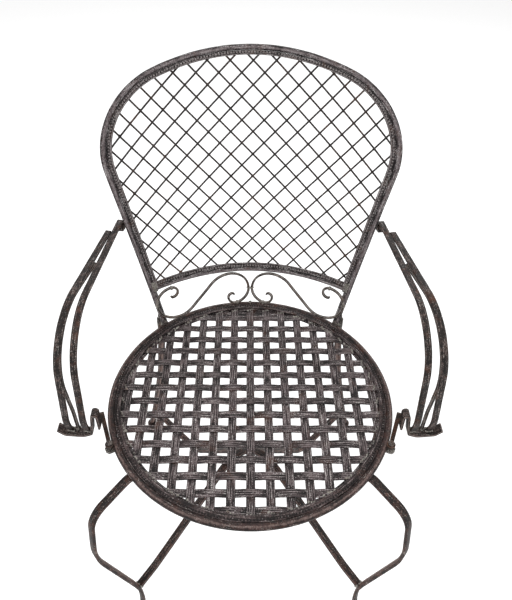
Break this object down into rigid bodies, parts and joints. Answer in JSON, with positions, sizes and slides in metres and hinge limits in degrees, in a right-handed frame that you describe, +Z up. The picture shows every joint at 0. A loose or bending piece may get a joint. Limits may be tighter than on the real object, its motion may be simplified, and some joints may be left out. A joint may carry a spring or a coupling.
{
  "type": "garden armchair",
  "caption": "Iron garden armchair with a round woven strap seat, a lattice balloon back, open arms and splayed legs.",
  "frame": {"origin": "on the floor plane, under the middle of the overall box", "axes": "+Z up, +Y towards the chair's back, +X to the right as the chair is seen from the front"},
  "size_m": [0.5334, 0.5426, 0.8558],
  "materials": {
    "painted_bar": "satin",
    "woven_strap": "satin",
    "stamped_band": "satin",
    "painted_wire": "satin",
    "painted_fastener": "satin"
  },
  "bodies": {
    "root": {"seat_rim": "painted_bar", "back_bow": "painted_bar", "back_rail": "painted_bar", "front_leg_right": "painted_bar", "front_leg_left": "painted_bar", "rear_leg_right": "painted_bar", "rear_leg_left": "painted_bar", "stretcher_through": "painted_bar", "stretcher_rear_half": "painted_bar", "stretcher_front_half": "painted_bar", "arm_inner_bar_right": "painted_bar", "arm_inner_bar_left": "painted_bar", "arm_outer_bar_right": "painted_bar", "arm_outer_bar_left": "painted_bar", "arm_rod_right": "painted_bar", "arm_rod_left": "painted_bar", "arm_foot_strap_right": "painted_bar", "arm_foot_strap_left": "painted_bar", "arm_rim_tabs": "painted_bar", "arm_rim_lugs": "painted_bar", "ear_plates": "painted_bar", "front_feet": "painted_bar", "rear_feet": "painted_bar", "rim_button": "painted_bar", "seat_straps_lengthwise": "woven_strap", "seat_straps_crosswise": "woven_strap", "seat_edge_band": "stamped_band", "back_bow_band": "stamped_band", "back_rail_band": "stamped_band", "lattice_wires_rising_right": "painted_wire", "lattice_wires_rising_left": "painted_wire", "back_scroll_left": "painted_wire", "back_scroll_right": "painted_wire", "ear_bolts": "painted_fastener", "ear_nuts": "painted_fastener", "arm_rim_bolts": "painted_fastener", "arm_rim_nuts": "painted_fastener", "arm_back_pins": "painted_fastener"}
  },
  "joints": []
}
